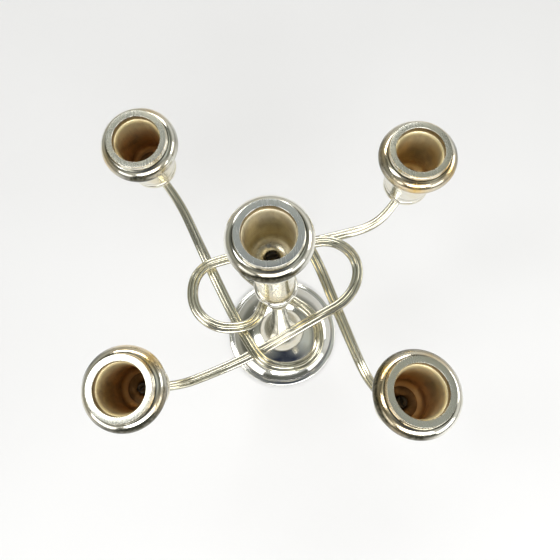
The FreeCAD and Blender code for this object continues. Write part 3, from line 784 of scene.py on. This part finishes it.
def make_foot():
    """A spun dome inside a stepped, rounded rim; solid under it to the filling."""
    dome = spline_through([(38.4, 4.5), (34.8, 6.9), (30.0, 9.1), (24.0, 11.2), (17.0, FOOT_TOP)], 12)
    rim = (42.6, FOOT_RIM_BOTTOM)
    pts = [(41.6, FOOT_RIM_BOTTOM, 0.1, 0), (*rim, 0.3, 0)]
    pts += sharp(arc_through(rim, (43.4, 1.9), (42.0, 3.2), 14))
    pts += [(40.6, 3.55, 0.6, 0), (39.25, 3.6, 0.25, 0), (38.75, 4.1, 0.2, 0)]
    pts += sharp(dome + [(6.5, FOOT_TOP), (6.5, FOOT_TOP - SHELL)])
    pts += sharp([(r, z - SHELL) for r, z in reversed(dome)])
    pts += sharp([(38.5, 2.6), (41.6, 2.6)])

    def grime_and_shade(around, radius, height):
        step = band(radius, 39.0, 0.55) * 0.7
        # Painted shade under the rim, where it sits on the felt.
        under = (height < 2.7) * (radius < 42) * 0.5
        return step + band(radius, STEM_FOOT_RADIUS + 0.2, 0.8) * 0.5 + under

    def age(around, radius, height):
        return patches(around, [(215, 45, 0.3), (60, 50, 0.15)])

    foot = lathe("foot_turned", pts, [POLISHED], age, grime_and_shade, 256)
    finish_piece(foot, STAND, "foot_shell")


def make_felt_pad():
    top = 1.2
    pts = [(0.0, 0.0, 0, 0), (40.2, 0.0, 0.3, 0), (40.5, 0.35, 0.3, 0),
           (40.45, top, 0.1, 0), (0.0, top, 0, 0)]
    made = lathe("felt_pad", pts, [FELT], segments=128)
    finish_piece(made, STAND, "felt_disc")


def make_stem():
    """A hollow trumpet, wide at the foot and narrowest below the hub."""
    outer = spline_through([(STEM_FOOT_RADIUS, 14.2), (13.4, 19.5), (11.0, 26.0), (9.2, 34.5), (7.9, 45.0),
                            (6.6, 57.0), (5.7, 70.0), (4.8, 96.0), (5.2, 118.0), (6.0, STEM_TOP)],
                           STEM_SPLINE_STEPS)
    hollow = outer[2 * STEM_SPLINE_STEPS:-STEM_SPLINE_STEPS]
    pts = [(15.8, FOOT_TOP, 0, 0), (STEM_FOOT_RADIUS, FOOT_TOP, 0.25, 0)]
    pts += sharp(outer + [(ROD_HOLE, STEM_TOP), (ROD_HOLE, 127.0), (4.8, 127.0)])
    pts += sharp([(r - STEM_WALL, z) for r, z in reversed(hollow)])

    def grime_and_shade(around, radius, height):
        return band(height, 13.2, 0.8) * 0.7 + band(height, 129.6, 1.5) * 0.6

    def age(around, radius, height):
        return 0.25 + np.clip((height - 95) / 40, 0, 0.3)

    made = lathe("stem_turned", pts, [CUP], age, grime_and_shade)
    finish_piece(made, STAND, "stem")


def make_hub():
    """The collar that every branch runs into, with a rounded edge at each end."""
    pts = sharp([(ROD_HOLE, STEM_TOP), (7.9, STEM_TOP)])
    pts += sharp(arc_through((7.9, STEM_TOP), (8.5, 130.75), (7.8, 131.5), 10))
    pts += sharp(arc_through((7.8, 149.5), (8.5, 150.25), (7.9, HUB_TOP), 10))
    pts += sharp([(ROD_HOLE, HUB_TOP)])

    def grime_and_shade(around, radius, height):
        return band(height, 131.7, 0.7) * 0.6 + band(height, 149.3, 0.7) * 0.6 + 0.15

    made = lathe("branch_hub_turned", pts, [BRANCH], HUB_AGE, grime_and_shade, 128)
    finish_piece(made, STAND, "branch_hub")


def make_column_ring():
    """The bead ring at the foot of the column body."""
    neck, bead_foot, bead_top = (7.9, HUB_TOP), (10.9, 153.6), (10.9, 157.0)
    pts = sharp([(ROD_HOLE, HUB_TOP), neck])
    pts += sharp(arc_through(neck, (8.8, 152.5), bead_foot, 10))
    pts += sharp(arc_through(bead_foot, (12.1, 155.3), bead_top, 16))
    pts += [(10.9, COLUMN_FOOT, 0.25, 0), (ROD_HOLE, COLUMN_FOOT, 0, 0)]

    def grime_and_shade(around, radius, height):
        return band(height, 153.6, 0.5) * 0.7 + band(height, 157.1, 0.5) * 0.7

    made = lathe("column_ring_turned", pts, [POLISHED], COLUMN_RING_AGE, grime_and_shade)
    finish_piece(made, STAND, "column_ring")


def make_column_body():
    """The hollow body that widens a little up to the middle cup."""
    foot = (10.2, COLUMN_FOOT)
    pts = sharp([(9.2, COLUMN_FOOT), foot])
    pts += sharp(arc_through(foot, (10.45, 179.75), (11.4, COLUMN_TOP), 30))
    pts += sharp([(ROD_HOLE, COLUMN_TOP), (ROD_HOLE, 197.5), (10.4, 197.5)])

    def grime_and_shade(around, radius, height):
        return band(height, COLUMN_FOOT, 0.8) * 0.8 + band(height, COLUMN_TOP, 1.2) * 0.6

    def age(around, radius, height):
        return fade(height, 186, -30) * 0.6

    made = lathe("column_body_turned", pts, [GILT], age, grime_and_shade)
    finish_piece(made, STAND, "column_body")


make_foot()
make_felt_pad()
make_stem()
make_hub()
make_column_ring()
make_column_body()

# ------------------------------------------------------------------ branches
BEND_SHARE = 0.499
BEND_STEPS = 24
PATH_STEP = 0.5
SOFT_SIGMA = 5.0
SOFT_REACH = 14
VALLEY = 0.33
# VALLEY_WIDTH sets the dark line in each valley, which is tarnish and painted shade.
VALLEY_WIDTH = 0.09
REED_STEPS = 8
LAST_CORNER = -48.0
TIP_HALF_WIDTH = 1.95
TAPER_LENGTH = 70.0
STEEP = 0.12
HUB_GRIME_LENGTH = 3.0


def bend(before, corner, after):
    """Points on the widest arc that joins the two runs at a corner."""
    back, ahead = before - corner, after - corner
    reach = BEND_SHARE * min(np.linalg.norm(back), np.linalg.norm(ahead))
    back, ahead = back / np.linalg.norm(back), ahead / np.linalg.norm(ahead)
    half = (math.pi - math.acos(max(-1.0, min(1.0, float(back @ ahead))))) / 2
    radius = reach / math.tan(half)
    centre = corner + (back + ahead) / np.linalg.norm(back + ahead) * radius / math.cos(half)
    start, end = corner + back * reach - centre, corner + ahead * reach - centre
    turn = 2 * half
    shares = [k / BEND_STEPS for k in range(BEND_STEPS + 1)]
    return [centre + (start * math.sin((1 - t) * turn) + end * math.sin(t * turn)) / math.sin(turn)
            for t in shares]


def softened(path):
    """Averages each point with its neighbours by a bell curve, and keeps the ends in place."""
    weights = np.exp(-0.5 * (np.arange(-SOFT_REACH, SOFT_REACH + 1) / SOFT_SIGMA) ** 2)
    weights /= weights.sum()
    before = 2 * path[0] - path[SOFT_REACH:0:-1]
    after = 2 * path[-1] - path[-2:-SOFT_REACH - 2:-1]
    padded = np.vstack([before, path, after])
    return np.stack([np.convolve(padded[:, axis], weights, "valid") for axis in range(3)], axis=1)


def rounded_path(corners):
    """Straight runs joined by arcs, as even points, with each point's distance from the start."""
    corners = [np.array(c, dtype=float) for c in corners]
    points = [corners[0]]
    for before, corner, after in zip(corners, corners[1:], corners[2:]):
        points += bend(before, corner, after)
    points = np.array(points + [corners[-1]])
    steps = np.linalg.norm(np.diff(points, axis=0), axis=1)
    along = np.concatenate([[0], np.cumsum(steps)])
    even = np.linspace(0, along[-1], int(along[-1] / PATH_STEP))
    path = np.stack([np.interp(even, along, points[:, axis]) for axis in range(3)], axis=1)
    return softened(path), even


def path_frames(path):
    """The sideways and the upward direction at each point. A steep path keeps its last sideways one."""
    tangent = np.gradient(path, axis=0)
    tangent /= np.linalg.norm(tangent, axis=1)[:, None]
    side = np.cross((0, 0, 1), tangent[0])
    frames = []
    for ahead in tangent:
        level = np.cross((0, 0, 1), ahead)
        if np.linalg.norm(level) > STEEP:
            side = level
        side = side - ahead * float(side @ ahead)
        side = side / np.linalg.norm(side)
        frames.append((side, np.cross(ahead, side)))
    return frames


def reeds():
    """The section, three reeds on each face, as (across, up, valley) in half widths and thicknesses."""
    left, right = (-VALLEY, 0.72), (VALLEY, 0.72)
    top = [(-1.0, 0.0)]
    top += arc_through((-1.0, 0.0), (-0.72, 0.76), left, REED_STEPS)
    top += arc_through(left, (0.0, 1.0), right, REED_STEPS)
    top += arc_through(right, (0.72, 0.76), (1.0, 0.0), REED_STEPS)
    outline = top[:-1] + [(-x, -y) for x, y in top[:-1]]
    return [(x, y, max(0.0, 1 - abs(abs(x) - VALLEY) / VALLEY_WIDTH)) for x, y in outline]


def tube_faces(rings, around):
    """Quads along a tube, and a flat face on each end."""
    faces = []
    for i in range(rings - 1):
        for k in range(around):
            m = (k + 1) % around
            faces.append((i * around + k, i * around + m, (i + 1) * around + m, (i + 1) * around + k))
    faces.append(tuple(range(around - 1, -1, -1)))
    faces.append(tuple((rings - 1) * around + k for k in range(around)))
    return faces


def make_branch(name):
    """Sweeps the reeded section along the branch's route, narrowing towards the cup."""
    axis = seat_axis(name)
    top = np.array(SEATS[name][:3])
    path, along = rounded_path(ROUTES[name] + [top + LAST_CORNER * axis, top + BOSS_BOTTOM * axis])
    section = reeds()
    verts = []
    grime_and_shade = []
    age = []
    for point, (side, up), distance in zip(path, path_frames(path), along):
        taper = np.clip((along[-1] - distance) / TAPER_LENGTH, 0, 1) ** 0.8
        half_width = TIP_HALF_WIDTH + (BRANCH_WIDTH / 2 - TIP_HALF_WIDTH) * taper
        hub_grime = (1 - min(1.0, distance / HUB_GRIME_LENGTH)) * 0.5
        for across, height, valley in section:
            rise = height * (BRANCH_THICKNESS / 2)
            verts.append((point + side * across * half_width + up * rise) * MM)
            # Painted shade along both side edges of the strip.
            edge_shade = max(0.0, abs(across) - 0.9) * 4.0
            # The reeds' valleys are darker: tarnish, and painted shade that draws the grooves.
            grime_and_shade.append(valley * 0.95 + edge_shade + hub_grime)
            age.append(0.12 + 0.25 * math.sin(distance * 0.06) ** 2)
    faces = tube_faces(len(path), len(section))
    made = build("branch_" + name + "_reeded", np.array(verts), faces, [BRANCH], [0] * len(faces),
                 {"age": age, "grime_and_shade": grime_and_shade})
    finish_piece(made, STAND, "branch_" + name)


for arm in ROUTES:
    make_branch(arm)
    make_boss(arm)

# ------------------------------------------------------------------ CAD nodes that stay
KEPT_NODES = {"foot_ballast": FILLER, "closing_plate": BRASS, "tie_rod": BRIGHT_STEEL,
              "rod_washer": BRIGHT_STEEL, "rod_nut": BRIGHT_STEEL}
for node, material in KEPT_NODES.items():
    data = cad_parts[node].data
    data.materials.clear()
    data.materials.append(material)

# ------------------------------------------------------------------ floor and light, in metres
FLOOR_HALF = 3.0
FLOOR_Z = -0.0002

NAVY, OLIVE, GREY = (0.022, 0.029, 0.050), (0.090, 0.095, 0.080), (0.16, 0.17, 0.19)
PALE, CREAM = (0.50, 0.50, 0.47), (0.56, 0.555, 0.52)
# Colours by how far up a direction points: 0 is level or lower, 1 is straight up.
SKY_FRONT = [(0.0, OLIVE), (0.40, OLIVE), (0.52, PALE), (0.78, PALE),
             (0.85, NAVY), (0.95, NAVY), (0.99, GREY)]
SKY_BEHIND = [(0.0, CREAM), (0.40, CREAM), (0.55, (0.22, 0.22, 0.19)), (0.78, OLIVE),
              (0.86, (0.45, 0.46, 0.40)), (0.95, (0.42, 0.44, 0.42)), (0.99, GREY)]
# Brightness from the left at 0 to the right at 1.
SKY_SIDE = [(0.0, (0.55, 0.55, 0.50)), (0.35, (0.75, 0.75, 0.72)), (0.65, (1.0, 1.0, 1.0)),
            (1.0, (1.2, 1.2, 1.2))]

# Each panel: name, place, height it faces, width and height, power in watts.
PANELS = [
    ("front_panel", (0.06, -0.70, 0.69), 0.1, (0.78, 0.30), 4.7),
    ("front_left_panel", (-0.62, -0.52, 0.42), 0.12, (0.45, 0.34), 0.9),
    ("front_right_panel", (0.62, -0.56, 0.42), 0.12, (0.45, 0.34), 0.9),
    ("back_panel", (-0.10, 0.72, 0.84), 0.1, (0.9, 0.22), 3.8),
    ("right_panel", (0.80, 0.10, 0.55), 0.1, (0.4, 0.25), 0.9),
    ("left_panel", (-0.42, 0.00, 1.00), 0.1, (0.22, 0.36), 1.5),
]


def make_floor():
    mesh = bpy.data.meshes.new("floor")
    corners = [(-FLOOR_HALF, -FLOOR_HALF, 0), (FLOOR_HALF, -FLOOR_HALF, 0),
               (FLOOR_HALF, FLOOR_HALF, 0), (-FLOOR_HALF, FLOOR_HALF, 0)]
    mesh.from_pydata(corners, [], [(0, 1, 2, 3)])
    mesh.materials.append(floor_paper("pale_paper"))
    floor = bpy.data.objects.new("floor", mesh)
    floor.location.z = FLOOR_Z
    bpy.context.scene.collection.objects.link(floor)


def make_world():
    """A soft studio, brighter towards the right.

    In front it is olive at the horizon, pale above that and navy overhead. Behind, it is pale at the horizon.
    """
    world = bpy.data.worlds.new("studio")
    bpy.context.scene.world = world
    world.use_nodes = True
    sky = Nodes(world.node_tree)
    x, y, z = sky.split(sky.node("ShaderNodeTexCoord").outputs["Generated"])
    front = sky.ramp(sky.span(z, 0.0, 1.0), SKY_FRONT)
    behind = sky.ramp(sky.span(z, 0.0, 1.0), SKY_BEHIND)
    side = sky.ramp(sky.span(x, -1.0, 1.0), SKY_SIDE)
    ahead = sky.math("MULTIPLY_ADD", sky.math("ABSOLUTE", x), 0.4, y)
    walls = sky.mix(sky.span(ahead, -0.35, 0.05), front, behind)
    background = world.node_tree.nodes["Background"]
    sky.put(background.inputs["Color"], sky.mix(1.0, walls, side, blend="MULTIPLY"))
    sky.put(background.inputs["Strength"], 1.0)


def make_panel(name, place, aim_height, size, power):
    light = bpy.data.lights.new(name, "AREA")
    light.shape = "RECTANGLE"
    light.size, light.size_y = size
    light.energy = power
    made = bpy.data.objects.new(name, light)
    made.location = place
    direction = Vector((0, 0, aim_height)) - Vector(place)
    made.rotation_euler = direction.to_track_quat("-Z", "Y").to_euler()
    bpy.context.scene.collection.objects.link(made)


make_floor()
make_world()
for panel in PANELS:
    make_panel(*panel)

bpy.context.scene.view_settings.view_transform = "Standard"
